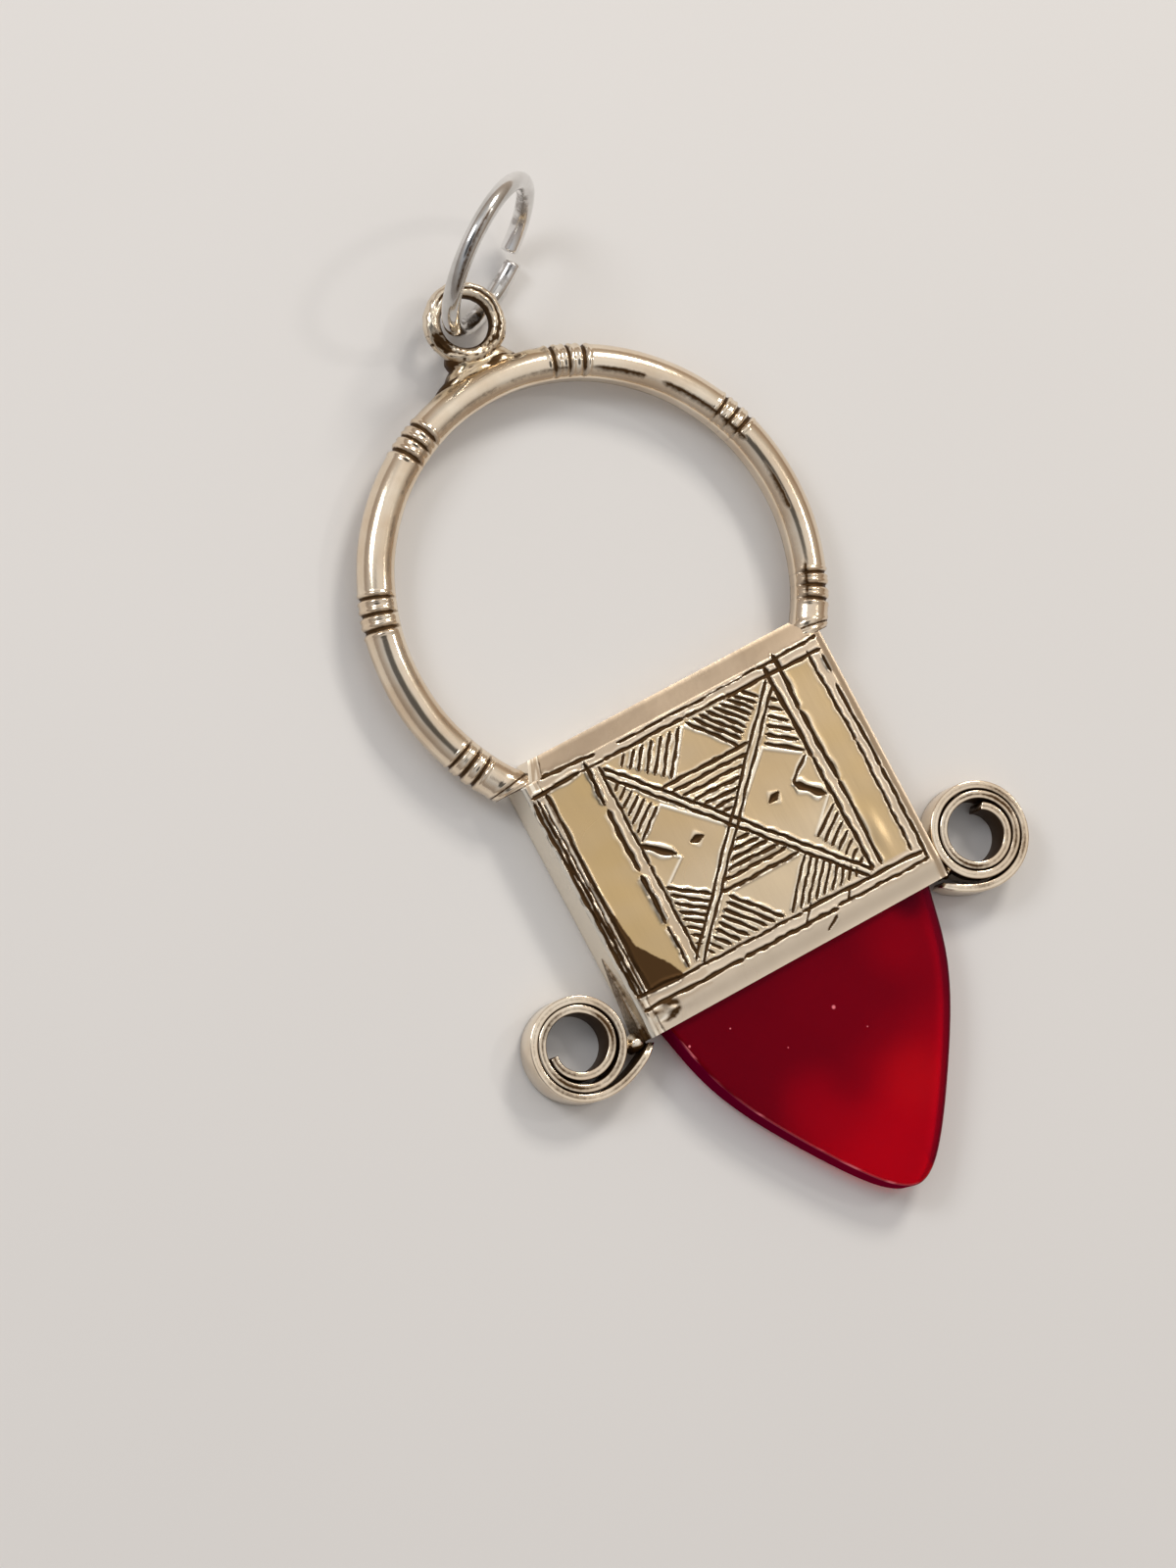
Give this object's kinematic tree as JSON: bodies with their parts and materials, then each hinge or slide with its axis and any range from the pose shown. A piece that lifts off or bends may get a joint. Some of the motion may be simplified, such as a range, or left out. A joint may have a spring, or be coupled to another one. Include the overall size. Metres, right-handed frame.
{
  "type": "tuareg cross pendant",
  "caption": "Silver cross pendant with an open hoop, an engraved sleeve with side scrolls, a pointed red glass stone, and a split jump ring in its bail, lying on its back.",
  "frame": {"origin": "middle of the underside of the whole pendant as it lies on its back", "axes": "+X across the pendant, +Y up its length towards the bail, +Z out of the engraved front"},
  "size_m": [0.0292, 0.0532, 0.0082],
  "materials": {
    "silver": "worn warm silver with darkened engraving",
    "red_glass": "deep red glass, ground satin faces",
    "bright_silver": "bright polished silver wire"
  },
  "bodies": {
    "root": {"silver_frame": "silver", "glass_stone": "red_glass", "jump_ring": "bright_silver"}
  },
  "joints": []
}
